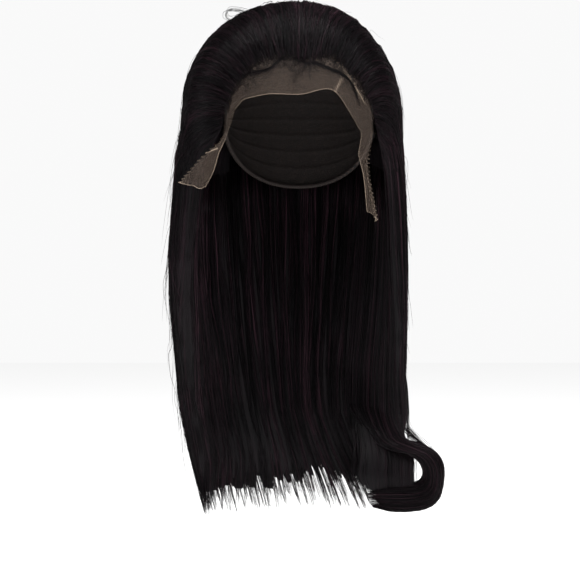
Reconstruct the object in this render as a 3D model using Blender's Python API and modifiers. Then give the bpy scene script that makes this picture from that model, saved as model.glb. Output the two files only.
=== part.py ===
"""A long lace front wig as it is worn: lace, cap and hair combed back, one end curled.

Metres, +Z up. The wig faces -Y, and +X is on the viewer's right. The origin is the inner top of
the cap, where it sits on the crown of a head.
"""

import math
from collections import namedtuple

import bpy
import bmesh
import numpy as np

# The head that the cap is cut for, measured from the centre of its widest level
HEAD_HALF_WIDTH = 0.075
HEAD_FRONT = 0.090
HEAD_BACK = 0.096
HEAD_RISE = 0.098
HEAD_FALL = 0.150
HEAD_ROUND = 2.2

# Cloth walls and the clearances between pieces
CAP_WALL = 0.0015
LACE_WALL = 0.001
SEAM_GAP = 0.0004
HAIR_CLEARANCE = 0.0016
LOCK_GAP = 0.0004

# Seam between lace and cap, and the cap's rim: degrees up from the forehead and towards an ear
SEAM_ANGLE = 84.0
NAPE_ANGLE = 214.0
EAR_ANGLE = 74.0

# Hair outside the head, and how far it falls below the widest level
HAIR_TOP = 0.0156
HAIR_LEFT = 0.038
HAIR_RIGHT = 0.025
HAIR_FRONT = 0.006
HAIR_BACK = 0.017
HAIR_EDGE = 0.003
HAIR_ROUND = 2.1
HAIR_SQUARER_LEFT = 0.15
LIFT_LENGTH = 0.042
TOP_RUN = 0.250
SIDE_RUN = 0.050
FALL_LENGTH = 0.400
FALL_WALL_LEFT = 0.026
FALL_WALL_RIGHT = 0.015
FALL_WALL_BACK = 0.014
END_WALL = 0.004
END_SWEEP = 0.040
END_FAN = 0.6
SPREAD_START = 0.15
SWEEP_START = 0.66
SWEEP_END = 1.06
END_SPREAD = 0.014
CURL_NECK = 0.007
CURL_ROW = 9

# Locks
LOCKS = 20
LOCK_COLUMNS = 4
LOCK_RELIEF = 0.0032
LOCK_TIP = 0.012
CROWN_ROWS = 9
FALL_ROWS = 12
SPLIT = 0.4
SPLIT_GAP = 0.0015

# Lace tabs that hang at the temples
TAB_LEFT_LENGTH = 0.062
TAB_RIGHT_LENGTH = 0.084
TAB_ROWS = 6

HairlineRow = namedtuple("HairlineRow", "share around up")
HAIRLINE = (
    HairlineRow(0.00, 0.0, 31.0),
    HairlineRow(0.25, 25.0, 31.0),
    HairlineRow(0.42, 37.0, 24.0),
    HairlineRow(0.56, 46.0, 16.0),
    HairlineRow(0.72, 54.0, 7.0),
    HairlineRow(0.87, 60.0, 0.0),
    HairlineRow(1.00, 64.0, -9.0),
)

# Half widths, depths and middle as shares of the widest level's, turn in degrees from the back
FallRow = namedtuple("FallRow", "drop left right middle back front turn")
FALL = (
    FallRow(0.00, 1.000, 1.000, 0.00, 1.000, 0.90, 118.0),
    FallRow(0.08, 1.050, 1.020, 0.00, 1.000, 0.80, 110.0),
    FallRow(0.21, 1.090, 1.045, 0.00, 0.985, 0.65, 103.0),
    FallRow(0.38, 1.124, 1.055, 0.02, 0.940, 0.50, 98.0),
    FallRow(0.55, 1.090, 1.060, 0.12, 0.905, 0.45, 93.0),
    FallRow(0.65, 1.080, 1.075, 0.26, 0.885, 0.45, 90.0),
    FallRow(0.75, 1.062, 1.075, 0.36, 0.867, 0.45, 88.0),
    FallRow(0.88, 1.030, 1.040, 0.42, 0.840, 0.45, 86.0),
    FallRow(1.00, 0.970, 1.000, 0.45, 0.810, 0.45, 86.0),
)

# Front edge of the lace: towards an ear (left is negative) and up from the widest level
EdgeRow = namedtuple("EdgeRow", "across up")
LACE_EDGE = (
    EdgeRow(-74.0, -42.0),
    EdgeRow(-62.0, -22.0),
    EdgeRow(-52.0, -4.0),
    EdgeRow(-40.0, 7.0),
    EdgeRow(-26.0, 9.0),
    EdgeRow(0.0, 8.0),
    EdgeRow(24.0, 9.0),
    EdgeRow(32.0, -1.0),
    EdgeRow(40.0, -14.0),
    EdgeRow(56.0, -20.0),
    EdgeRow(74.0, -42.0),
)
LACE_COLUMNS = 28
LACE_ROWS = 8
CAP_ROWS = 12

# Shares of the head's half width outward and of its front depth forward, face side then hair side
TabRow = namedtuple("TabRow", "drop face_out hair_out face_front hair_front")
TAB_LEFT = (
    TabRow(0.30, 0.935, 1.02, 0.600, 0.520),
    TabRow(0.50, 1.010, 1.20, 0.590, 0.560),
    TabRow(0.75, 1.070, 1.38, 0.580, 0.570),
    TabRow(1.00, 1.170, 1.48, 0.570, 0.570),
)
TAB_RIGHT = (
    TabRow(0.25, 0.730, 0.890, 0.640, 0.520),
    TabRow(0.50, 0.800, 0.900, 0.600, 0.540),
    TabRow(0.75, 0.830, 0.950, 0.580, 0.550),
    TabRow(1.00, 0.850, 1.000, 0.570, 0.550),
)
TAB_LEFT_FROM = -65.0
TAB_LEFT_TO = -47.0
TAB_RIGHT_FROM = 37.0
TAB_RIGHT_TO = 63.0
TAB_CLEARANCE = 0.002
TAB_TURN = 0.35

# The curl's sections from root to tip, in shares of its width and height from its upper left corner
CURL_WIDTH = 0.100
CURL_HEIGHT = 0.089
CURL_LEFT = 0.047
CURL_DEPTH = 0.055
CURL_WALL = 0.030
CurlRow = namedtuple("CurlRow", "outer_along outer_down inner_along inner_down wall")
CURL = (
    CurlRow(0.605, 0.10, 0.22, 0.14, 1.00),
    CurlRow(0.700, 0.18, 0.27, 0.30, 1.00),
    CurlRow(0.850, 0.26, 0.36, 0.42, 1.00),
    CurlRow(0.950, 0.35, 0.53, 0.47, 1.00),
    CurlRow(1.000, 0.51, 0.67, 0.49, 1.00),
    CurlRow(0.990, 0.74, 0.70, 0.52, 1.00),
    CurlRow(0.900, 0.91, 0.64, 0.55, 1.00),
    CurlRow(0.740, 0.99, 0.54, 0.56, 0.96),
    CurlRow(0.550, 1.00, 0.42, 0.56, 0.88),
    CurlRow(0.380, 0.98, 0.30, 0.60, 0.70),
    CurlRow(0.230, 0.93, 0.20, 0.70, 0.40),
)


def remove_everything():
    """Empties the scene."""
    for item in list(bpy.data.objects):
        bpy.data.objects.remove(item, do_unlink=True)


def material(name, colour, roughness, alpha=1.0):
    """A plain finish: colour, roughness and how much it covers."""
    made = bpy.data.materials.new(name)
    made.use_nodes = True
    shader = made.node_tree.nodes["Principled BSDF"]
    shader.inputs["Base Color"].default_value = (*colour, 1.0)
    shader.inputs["Roughness"].default_value = roughness
    shader.inputs["Metallic"].default_value = 0.0
    shader.inputs["Alpha"].default_value = alpha
    return made


def ease(x):
    """Rises from 0 to 1 with level ends."""
    x = np.clip(x, 0.0, 1.0)
    return x * x * (3.0 - 2.0 * x)


def read(table, column, at):
    """A column of a table at a place in its first column, on a smooth curve through its rows."""
    x = np.array([row[0] for row in table])
    y = np.array([getattr(row, column) for row in table])
    at = np.clip(np.asarray(at, float), x[0], x[-1])
    slope = np.gradient(y, x)
    i = np.clip(np.searchsorted(x, at, side="right") - 1, 0, len(x) - 2)
    step = x[i + 1] - x[i]
    u = (at - x[i]) / step
    start = (1 + 2 * u) * (1 - u) ** 2 * y[i] + u * (1 - u) ** 2 * step * slope[i]
    end = u * u * (3 - 2 * u) * y[i + 1] + u * u * (u - 1) * step * slope[i + 1]
    return start + end


def oval(across, along, half_across, half_along, power):
    """Distance from the middle to a rounded oval, in a direction given by two parts."""
    return ((np.abs(across) / half_across) ** power + (np.abs(along) / half_along) ** power) ** (-1 / power)


def head_distance(way):
    """Distance from the head's centre to its surface along unit vectors."""
    depth = np.where(way[..., 1] < 0, HEAD_FRONT, HEAD_BACK)
    height = np.where(way[..., 2] > 0, HEAD_RISE, HEAD_FALL)
    parts = (
        np.abs(way[..., 0] / HEAD_HALF_WIDTH) ** HEAD_ROUND
        + np.abs(way[..., 1] / depth) ** HEAD_ROUND
        + np.abs(way[..., 2] / height) ** HEAD_ROUND
    )
    return parts ** (-1 / HEAD_ROUND)


def head_way(across, up):
    """Unit vectors from angles: up over the head from the forehead, and across towards an ear."""
    across = np.radians(across)
    up = np.radians(up)
    return np.stack(
        [np.sin(across), -np.cos(across) * np.cos(up), np.cos(across) * np.sin(up)], -1
    )


def on_head(across, up):
    """Points of the head's surface from the two angles of head_way."""
    way = head_way(across, up)
    return way * head_distance(way)[..., None] - np.array([0.0, 0.0, HEAD_RISE])


def half_width(side, share_left, share_right):
    """Half width of the hair on the side that a direction points to."""
    left = (HEAD_HALF_WIDTH + HAIR_LEFT) * share_left
    right = (HEAD_HALF_WIDTH + HAIR_RIGHT) * share_right
    return np.where(side < 0, left, right)


def hair_power(side):
    """Roundness of the hair's outline, squarer on its left."""
    return HAIR_ROUND - HAIR_SQUARER_LEFT * side


def crown_distance(way):
    """Distance from the head's centre to the outer face of the hair, at and above the widest level."""
    power = hair_power(way[..., 0])
    depth = np.where(
        way[..., 1] < 0,
        (HEAD_FRONT + HAIR_FRONT) * FALL[0].front,
        (HEAD_BACK + HAIR_BACK) * FALL[0].back,
    )
    high = ease(way[..., 2] / 0.35)
    depth = np.where(way[..., 1] < 0, depth + (HEAD_FRONT + HAIR_FRONT - depth) * high, depth)
    parts = (
        np.abs(way[..., 0] / half_width(way[..., 0], 1.0, 1.0)) ** power
        + np.abs(way[..., 1] / depth) ** power
        + np.abs(way[..., 2] / (HEAD_RISE + HAIR_TOP)) ** power
    )
    return parts ** (-1 / power)


def lock_form(share):
    """Cross form of the locks: 0 in the furrow between two locks, 1 on the crest of one."""
    return np.abs(np.sin(math.pi * LOCKS * (share + 1) / 2)) ** 0.7


def front_rounding(share):
    """Thins the wall to a rounded edge at both front ends."""
    near = np.clip((np.abs(share) - 0.93) / 0.07, 0.0, 1.0)
    return np.sqrt(1.0 - 0.93 * near**2)


def strand_way(share, along):
    """Direction of a strand on the crown, from the hairline (along 0) to where it starts to fall (1)."""
    side = np.sign(share)
    size = np.abs(share)
    around = np.radians(read(HAIRLINE, "around", size)) * side
    up = np.radians(read(HAIRLINE, "up", size))
    root = np.stack([np.sin(around) * np.cos(up), -np.cos(around) * np.cos(up), np.sin(up)], -1)
    down = np.radians(-30.0 * size**2)
    turn = np.radians(read(FALL, "turn", -HEAD_RISE * np.tan(down) / FALL_LENGTH) * share)
    end = np.stack([np.sin(turn) * np.cos(down), np.cos(turn) * np.cos(down), np.sin(down)], -1)
    pull = (root + end) / 2 + np.stack([0 * size, 0.35 + 0 * size, 1.1 + 0 * size], -1) * (
        1 - size**1.5
    )[..., None]
    along = along[..., None]
    way = root * (1 - along) ** 2 + pull * 2 * along * (1 - along) + end * along**2
    return way / np.linalg.norm(way, axis=-1, keepdims=True)


def fall_walls(turn, drop):
    """Outer and inner distance from the middle of a level section, and that middle's depth."""
    at = drop / FALL_LENGTH
    side = np.sin(turn)
    back = np.cos(turn)
    middle = read(FALL, "middle", at) * HEAD_BACK
    behind = (HEAD_BACK + HAIR_BACK) * read(FALL, "back", at) - middle
    before = (HEAD_FRONT + HAIR_FRONT) * read(FALL, "front", at)
    wide = half_width(side, read(FALL, "left", at), read(FALL, "right", at))
    outer = oval(side, back, wide, np.where(back > 0, behind, before), hair_power(side))
    flat = np.stack([side, back, 0 * side], -1)
    bare = outer - head_distance(flat) - CAP_WALL - HAIR_CLEARANCE
    fall_side = np.where(side < 0, FALL_WALL_LEFT, FALL_WALL_RIGHT)
    wall = FALL_WALL_BACK + (fall_side - FALL_WALL_BACK) * side**2
    loose = ease(drop / (HEAD_RISE * 0.45))
    wall = bare + (wall - bare) * loose
    wall = END_WALL + (wall - END_WALL) * (1 - ease((at - 0.8) / 0.2))
    return outer, wall, middle


def crown_rings(shares, alongs):
    """Closed sections of the crown's hair, outer face then inner face."""
    share, along = np.meshgrid(shares, alongs)
    way = strand_way(share, along)
    low = way[..., 2] < 0
    flat_size = np.hypot(way[..., 0], way[..., 1])
    turn = np.arctan2(way[..., 0], way[..., 1])
    drop = np.where(low, -HEAD_RISE * way[..., 2] / flat_size, 0.0)
    low_outer, low_wall, middle = fall_walls(turn, drop)
    inner = head_distance(way) + CAP_WALL + HAIR_CLEARANCE
    outer = crown_distance(way)
    length = SIDE_RUN + (TOP_RUN - SIDE_RUN) * (1 - np.abs(share) ** 1.5)
    lift = ease(0.12 + along * length / LIFT_LENGTH)
    outer = np.where(low, low_outer, outer)
    inner = np.where(low, low_outer - low_wall, inner)
    outer = inner + HAIR_EDGE + (outer - inner - HAIR_EDGE) * lift
    outer = outer - LOCK_RELIEF * (1 - lock_form(share)) * lift * 0.6
    centre = (outer + inner) / 2
    half = (outer - inner) / 2 * front_rounding(share)

    def place(distance):
        """Points at a distance along each direction."""
        high = way * distance[..., None] - np.array([0.0, 0.0, HEAD_RISE])
        level = np.stack(
            [np.sin(turn) * distance, middle + np.cos(turn) * distance, -HEAD_RISE - drop], -1
        )
        return np.where(low[..., None], level, high)

    return np.concatenate([place(centre + half), place(centre - half)[:, ::-1]], 1)


def bearing(share, drop):
    """Angle from the back of a strand that falls, drawn towards the sides as the section flattens."""
    at = drop / FALL_LENGTH
    angle = np.radians(read(FALL, "turn", at)) * share
    middle = read(FALL, "middle", at) * HEAD_BACK
    behind = (HEAD_BACK + HAIR_BACK) * read(FALL, "back", at) - middle
    wide = half_width(share, read(FALL, "left", at), read(FALL, "right", at))
    spread = 1 + (wide / behind - 1) * ease((at - SPREAD_START) / (1 - SPREAD_START))
    return np.arctan2(np.sin(angle) * spread, np.cos(angle))


def fall_rings(shares, bottoms, last_row=FALL_ROWS):
    """Closed sections of the falling hair, from the crown's hair down to its ends or to one row."""
    rows = np.arange(last_row + 1)[:, None] / FALL_ROWS
    share = np.broadcast_to(shares, (len(rows), len(shares)))
    top = fall_top(shares) + LOCK_GAP
    drop = top + (bottoms - top) * rows
    at = drop / FALL_LENGTH
    turn = bearing(share, drop)
    outer, wall, middle = fall_walls(turn, drop)
    inner = outer - wall
    outer = outer - LOCK_RELIEF * (1 - lock_form(share)) * (0.6 + 0.4 * ease(rows))
    centre = (outer + inner) / 2
    half = (outer - inner) / 2 * front_rounding(share)
    sweep = END_SWEEP * (1 + END_FAN * share) * ease((at - SWEEP_START) / (SWEEP_END - SWEEP_START))

    def place(distance):
        """Points of the section at a distance from its middle."""
        return np.stack(
            [
                np.sin(turn) * distance + sweep,
                middle + np.cos(turn) * distance,
                -HEAD_RISE - drop,
            ],
            -1,
        )

    return np.concatenate([place(centre + half), place(centre - half)[:, ::-1]], 1)


def fall_top(shares):
    """Drop at which the falling hair starts under the crown's hair."""
    return HEAD_RISE * np.tan(np.radians(30.0 * shares**2))


def fall_bottom(shares):
    """Drop of the lock tips: each lock is longest on its crest, and the locks differ."""
    number = np.floor((shares + 1) / 2 * LOCKS)
    uneven = END_SPREAD * (0.5 + 0.5 * np.sin(number * 2.4))
    return furrow_bottom(shares) + (LOCK_TIP + uneven) * lock_form(shares)


def furrow_bottom(shares):
    """Drop at which the furrows between the locks end."""
    return FALL_LENGTH - END_SPREAD - LOCK_TIP + 0 * shares


def lock_shares(start, end):
    """Column places from one lock boundary to another, drawn in a little to leave a gap."""
    count = round((end - start) / 2 * LOCKS) * LOCK_COLUMNS
    shares = np.linspace(start, end, count + 1)
    shares[0] += SPLIT_GAP if start > -1 else 0.0
    shares[-1] -= SPLIT_GAP if end < 1 else 0.0
    return shares


def curl_rings(shares, start):
    """Closed sections of the curl: the section it hangs from, eased into the rolled lock."""
    across = (shares - shares[0]) / (shares[-1] - shares[0])
    place = np.concatenate([across, across[::-1]])
    face = np.concatenate([np.ones_like(across), -np.ones_like(across)])
    top = start[:, 2].min() - CURL_NECK
    rings = [start]
    for number, row in enumerate(CURL):
        x = CURL_LEFT + CURL_WIDTH * (row.inner_along + (row.outer_along - row.inner_along) * place)
        z = top - CURL_HEIGHT * (row.inner_down + (row.outer_down - row.inner_down) * place)
        bulge = np.sqrt(np.clip(1.0 - 0.96 * (2 * place - 1) ** 2, 0.0, 1.0))
        y = CURL_DEPTH + face * CURL_WALL / 2 * row.wall * bulge
        ring = np.stack([x, y, z], -1)
        mix = ease((number + 2) / 4)
        followed = start + np.array([0.0, 0.0, ring[:, 2].mean() - start[:, 2].mean()])
        followed[:, 0] = ring[:, 0]
        followed[:, 2] = ring[:, 2]
        rings.append(followed + (ring - followed) * mix)
    return np.array(rings)


def loft(name, rings, finish, home):
    """One closed body through rings of alike points, with a strip of faces closing each end."""
    rows, size = rings.shape[:2]
    mesh = bpy.data.meshes.new(name)
    shape = bmesh.new()
    verts = [[shape.verts.new(point) for point in ring] for ring in rings]
    for above, below in zip(verts, verts[1:]):
        for i in range(size):
            k = (i + 1) % size
            shape.faces.new((above[i], above[k], below[k], below[i]))
    for ring in (verts[0], verts[-1]):
        for i in range(size // 2 - 1):
            shape.faces.new((ring[i], ring[i + 1], ring[size - 2 - i], ring[size - 1 - i]))
    bmesh.ops.recalc_face_normals(shape, faces=shape.faces)
    bmesh.ops.triangulate(shape, faces=shape.faces)
    shape.to_mesh(mesh)
    shape.free()
    return settle(name, mesh, finish, home)


def settle(name, mesh, finish, home):
    """Puts a mesh in the scene as a smooth object with its finish."""
    mesh.materials.append(finish)
    mesh.shade_smooth()
    made = bpy.data.objects.new(name, mesh)
    home.objects.link(made)
    return made


def cloth(name, grids, wall, finish, home):
    """A sheet through joined grids of points, thickened outwards."""
    mesh = bpy.data.meshes.new(name)
    shape = bmesh.new()
    for grid in grids:
        verts = [[shape.verts.new(point) for point in row] for row in grid]
        for above, below in zip(verts, verts[1:]):
            for i in range(len(above) - 1):
                shape.faces.new((above[i], below[i], below[i + 1], above[i + 1]))
    bmesh.ops.remove_doubles(shape, verts=shape.verts, dist=0.00001)
    shape.to_mesh(mesh)
    shape.free()
    made = settle(name, mesh, finish, home)
    thick = made.modifiers.new("wall", "SOLIDIFY")
    thick.thickness = wall
    thick.offset = 1.0
    thick.use_even_offset = True
    return made


def lace_grid():
    """The lace over the head: rows from the seam forward to its cut edge."""
    across = np.linspace(-EAR_ANGLE, EAR_ANGLE, LACE_COLUMNS + 1)
    edge = read(LACE_EDGE, "up", across)
    rows = np.linspace(0.0, 1.0, LACE_ROWS + 1)[:, None]
    return across, on_head(across + 0 * rows, SEAM_ANGLE + (edge - SEAM_ANGLE) * rows)


def hair_front(drop):
    """Depth of the foremost point of the falling hair at a drop below the widest level."""
    turn = np.radians(read(FALL, "turn", drop / FALL_LENGTH))
    foremost = 0.0
    for side in (-1, 1):
        outer, wall, middle = fall_walls(turn * side, drop)
        foremost = min(foremost, float(middle + np.cos(turn) * outer))
    return foremost


def tab_grid(edge, table, length, side):
    """Rows of a hanging tab, from a stretch of the lace's edge down to the tab's end."""
    width = np.linspace(0.0, 1.0, len(edge))
    hair_side = width if side > 0 else 1 - width
    rows = [edge]
    for drop in np.linspace(0.0, 1.0, TAB_ROWS + 1)[1:]:
        face_out = read(table, "face_out", drop) * HEAD_HALF_WIDTH
        hair_out = read(table, "hair_out", drop) * HEAD_HALF_WIDTH
        face_front = read(table, "face_front", drop) * HEAD_FRONT
        hair_side_front = read(table, "hair_front", drop) * HEAD_FRONT
        level = edge[:, 2].mean() - length * drop
        clear = hair_front(max(0.0, -level - HEAD_RISE)) - TAB_CLEARANCE - LACE_WALL
        depth = -(face_front + (hair_side_front - face_front) * hair_side)
        outward = side * (face_out + (hair_out - face_out) * hair_side)
        hung = np.stack([outward, np.minimum(depth, clear), level + 0 * width], -1)
        lowered = edge + np.array([0.0, 0.0, -length * drop])
        rows.append(lowered + (hung - lowered) * ease(drop / TAB_TURN))
    return np.array(rows)


def main():
    """Builds every piece."""
    remove_everything()
    home = bpy.data.collections.new("lace_front_wig")
    bpy.context.scene.collection.children.link(home)
    hair = material("hair", (0.012, 0.007, 0.009), 0.4)
    net = material("lace", (0.42, 0.30, 0.22), 0.7, 0.5)
    cap_cloth = material("cap_cloth", (0.02, 0.015, 0.013), 0.8)

    across, lace = lace_grid()
    grids = [lace]
    for low, high, table, length, side in (
        (TAB_LEFT_FROM, TAB_LEFT_TO, TAB_LEFT, TAB_LEFT_LENGTH, -1),
        (TAB_RIGHT_FROM, TAB_RIGHT_TO, TAB_RIGHT, TAB_RIGHT_LENGTH, 1),
    ):
        held = (across > low) & (across < high)
        grids.append(tab_grid(lace[-1][held], table, length, side))
    cloth("lace_front", grids, LACE_WALL, net, home)

    reach = np.linspace(-EAR_ANGLE, EAR_ANGLE, LACE_COLUMNS + 1)
    seam = SEAM_ANGLE + math.degrees(SEAM_GAP / HEAD_RISE)
    rows = np.linspace(0.0, 1.0, CAP_ROWS + 1)[:, None]
    dome = on_head(reach + 0 * rows, NAPE_ANGLE + (seam - NAPE_ANGLE) * rows)
    cloth("cap", [dome], CAP_WALL, cap_cloth, home)

    everywhere = lock_shares(-1.0, 1.0)
    loft("hair_crown", crown_rings(everywhere, np.linspace(0.0, 1.0, CROWN_ROWS + 1)), hair, home)
    for name, low, high in (("hair_left", -1.0, -SPLIT), ("hair_back", -SPLIT, SPLIT)):
        shares = lock_shares(low, high)
        loft(name, fall_rings(shares, fall_bottom(shares)), hair, home)
    shares = lock_shares(SPLIT, 1.0)
    rings = fall_rings(shares, furrow_bottom(shares), CURL_ROW)
    loft("hair_right", rings, hair, home)
    loft("end_curl", curl_rings(shares, rings[-1] - np.array([0.0, 0.0, LOCK_GAP])), hair, home)


main()
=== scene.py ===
"""The looks of a long lace front wig: its cap, its net, and its hair strand by strand.

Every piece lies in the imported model's frame: metres, +Z up, the face opening towards -Y, and the
origin at the inner top of the cap.
"""
from collections import namedtuple

import bpy
import numpy as np
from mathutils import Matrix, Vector


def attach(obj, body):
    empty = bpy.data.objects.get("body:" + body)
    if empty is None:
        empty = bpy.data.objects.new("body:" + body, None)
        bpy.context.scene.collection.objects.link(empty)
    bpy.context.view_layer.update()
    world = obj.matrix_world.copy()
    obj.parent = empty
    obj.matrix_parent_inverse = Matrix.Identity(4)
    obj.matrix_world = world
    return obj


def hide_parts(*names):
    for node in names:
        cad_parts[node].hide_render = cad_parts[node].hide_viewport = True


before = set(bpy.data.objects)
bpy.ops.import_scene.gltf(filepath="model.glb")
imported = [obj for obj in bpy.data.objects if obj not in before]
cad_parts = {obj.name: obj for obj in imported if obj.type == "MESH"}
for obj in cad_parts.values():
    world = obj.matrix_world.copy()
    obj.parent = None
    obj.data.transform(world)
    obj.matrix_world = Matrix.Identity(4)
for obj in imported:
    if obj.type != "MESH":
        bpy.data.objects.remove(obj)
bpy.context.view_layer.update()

# Cap
# The dome that carries the hair behind the top seam. It is stretch net with rows of machine-made weft
# sewn round it, bound at the rim by a folded elastic band.
HEAD_HALF_WIDTH = 0.075
HEAD_FRONT = 0.090
HEAD_BACK = 0.096
HEAD_RISE = 0.098
HEAD_FALL = 0.150
HEAD_ROUND = 2.2
SEAM_ANGLE = 84.0
NAPE_ANGLE = 214.0
EAR_ANGLE = 74.0
CAP_WALL = 0.0015
WEFT_ROWS = 13
WEFT_HEIGHT = 0.0011
CAP_COLUMNS = 36
CAP_ROWS = 92
CAP_NET_SCALE = 700.0
RIB_SCALE = 260.0
BAND_RADIUS = 0.0022
BAND_TOP = 110.0
BAND_SIDE_STEPS = 60
BAND_NAPE_STEPS = 80
CAP_THREAD = (0.020, 0.014, 0.012, 1)
CAP_HOLE = (0.004, 0.003, 0.003, 1)
BAND_COLOUR = (0.030, 0.020, 0.017, 1)


class Socket:
    """A shader output that takes part in Python sums: each operator adds its Math node."""

    def __init__(self, tree, link):
        self.tree = tree
        self.link = link

    def node(self, kind, settings=None, values=None, output=0):
        """Adds a node, gives its settings, then its sockets' values or links, and wraps an output."""
        made = self.tree.nodes.new(kind)
        for key, value in (settings or {}).items():
            if key == "stops":
                for stop, (place, colour) in zip(stops_of(made, len(value)), value):
                    stop.position = place
                    stop.color = colour
            else:
                setattr(made, key, value)
        for key, value in (values or {}).items():
            if isinstance(value, Socket):
                self.tree.links.new(value.link, made.inputs[key])
            else:
                made.inputs[key].default_value = value
        return Socket(self.tree, made.outputs[output])

    def math(self, operation, *values):
        """A Math node on this socket and up to two more values."""
        return self.node("ShaderNodeMath", {"operation": operation}, dict(enumerate((self, *values))))

    def __add__(self, other):
        return self.math("ADD", other)

    def __sub__(self, other):
        return self.math("SUBTRACT", other)

    def __rsub__(self, other):
        return (self * -1).math("ADD", other)

    def __mul__(self, other):
        return self.math("MULTIPLY", other)

    __rmul__ = __mul__

    def attribute(self, name):
        """A number that the mesh's points carry."""
        return self.node("ShaderNodeAttribute", {"attribute_name": name}, output=2)

    def noise(self, scale, detail):
        """Noise at the places that this socket gives."""
        values = {"Vector": self, "Scale": scale, "Detail": detail}
        return self.node("ShaderNodeTexNoise", values=values)

    def clip(self, low, high):
        """0 below low, 1 above high, in proportion between."""
        return self.node(
            "ShaderNodeMapRange", {"clamp": True}, {"Value": self, "From Min": low, "From Max": high}
        )

    def blend(self, first, second):
        """The first colour where this socket is 0, the second where it is 1."""
        return self.node(
            "ShaderNodeMix", {"data_type": "RGBA"}, {0: self, 6: first, 7: second}, output=2
        )


def stops_of(ramp, count):
    """The stops of a ramp node, with as many added as are needed."""
    stops = ramp.color_ramp.elements
    while len(stops) < count:
        stops.new(1.0)
    return stops


def finish(name, **constants):
    """A material with its constants set on the shader, and a socket to build its pattern from."""
    made = bpy.data.materials.new(name)
    made.use_nodes = True
    tree = made.node_tree
    shader = tree.nodes["Principled BSDF"]
    for key, value in constants.items():
        shader.inputs[key.replace("_", " ")].default_value = value
    return made, shader, Socket(tree, None)


def feed(shader, **links):
    """Joins sockets to the shader's inputs."""
    for key, value in links.items():
        value.tree.links.new(value.link, shader.inputs[key.replace("_", " ")])


def bump(pattern, depth, strength=1.0):
    """A normal that a height pattern raises by a depth in metres."""
    values = {"Height": pattern, "Distance": depth, "Strength": strength}
    return pattern.node("ShaderNodeBump", values=values)


def ease(x):
    """Rises from 0 to 1 with level ends: x squared times (3 - 2x)."""
    x = np.clip(x, 0.0, 1.0)
    return x * x * (3.0 - 2.0 * x)


def rows_of(columns, *rows):
    """A table whose rows can be read by the names of its columns."""
    row_of = namedtuple("Row", columns)
    return [row_of(*row) for row in rows]


def read(table, column, at):
    """A column of a table at places in its first column, by cubic curves through its rows."""
    x = np.array([row[0] for row in table])
    y = np.array([getattr(row, column) for row in table])
    at = np.clip(np.asarray(at, float), x[0], x[-1])
    slope = np.gradient(y, x)
    i = np.clip(np.searchsorted(x, at, side="right") - 1, 0, len(x) - 2)
    step = x[i + 1] - x[i]
    u = (at - x[i]) / step
    start = (1 + 2 * u) * (1 - u) ** 2 * y[i] + u * (1 - u) ** 2 * step * slope[i]
    end = u * u * (3 - 2 * u) * y[i + 1] + u * u * (u - 1) * step * slope[i + 1]
    return start + end


def head_distance(way):
    """Distance to a rounded ellipsoid along unit vectors: (sum of (part / half axis)^p)^(-1/p)."""
    depth = np.where(way[..., 1] < 0, HEAD_FRONT, HEAD_BACK)
    height = np.where(way[..., 2] > 0, HEAD_RISE, HEAD_FALL)
    parts = (
        np.abs(way[..., 0] / HEAD_HALF_WIDTH) ** HEAD_ROUND
        + np.abs(way[..., 1] / depth) ** HEAD_ROUND
        + np.abs(way[..., 2] / height) ** HEAD_ROUND
    )
    return parts ** (-1 / HEAD_ROUND)


def on_head(across, up, lift=0.0):
    """Points over the cap's form: degrees across to a side and up from the front, and a lift."""
    across, up = np.radians(across), np.radians(up)
    way = np.stack([np.sin(across), -np.cos(across) * np.cos(up), np.cos(across) * np.sin(up)], -1)
    return way * (head_distance(way) + lift)[..., None] - np.array([0.0, 0.0, HEAD_RISE])


def grid_faces(rows, columns, wrap=False):
    """Corner numbers of the quads of a grid, whose columns may close into a ring."""
    row = np.arange(rows - 1)[:, None]
    column = np.arange(columns if wrap else columns - 1)[None, :]
    after = (column + 1) % columns
    corners = [row * columns + column, (row + 1) * columns + column]
    corners += [(row + 1) * columns + after, row * columns + after]
    return np.stack(corners, -1).reshape(-1, 4)


def wall_faces(rows, around):
    """Faces of a closed wall: rows that run round both of its faces, and a strip at each end."""
    ends = np.arange(around // 2)
    back = around - 1 - ends
    strip = np.stack([ends[:-1], ends[1:], back[1:], back[:-1]], -1)
    return [grid_faces(rows, around, wrap=True), strip, strip[:, ::-1] + (rows - 1) * around]


def add_piece(name, points, faces, material, uv=None, uv_name="UVMap", **numbers):
    """A smooth mesh object at the origin from points, arrays of faces, corner UVs and point numbers."""
    mesh = bpy.data.meshes.new(name)
    points = np.asarray(points, np.float32).reshape(-1, 3)
    sizes = np.concatenate([np.full(len(part), part.shape[1]) for part in faces])
    corners = np.concatenate([part.ravel() for part in faces]).astype(np.int32)
    mesh.vertices.add(len(points))
    mesh.vertices.foreach_set("co", points.ravel())
    mesh.loops.add(len(corners))
    mesh.loops.foreach_set("vertex_index", corners)
    mesh.polygons.add(len(sizes))
    starts = np.concatenate([[0], np.cumsum(sizes)[:-1]]).astype(np.int32)
    mesh.polygons.foreach_set("loop_start", starts)
    mesh.update(calc_edges=True)
    if uv is not None:
        layer = mesh.uv_layers.new(name=uv_name)
        layer.data.foreach_set("uv", np.asarray(uv, np.float32).ravel())
    for key, values in numbers.items():
        field = mesh.attributes.new(key, "FLOAT", "POINT")
        field.data.foreach_set("value", np.asarray(values, np.float32).ravel())
    mesh.shade_smooth()
    mesh.materials.append(material)
    piece = bpy.data.objects.new(name, mesh)
    bpy.context.scene.collection.objects.link(piece)
    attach(piece, "root")
    return piece


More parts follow.
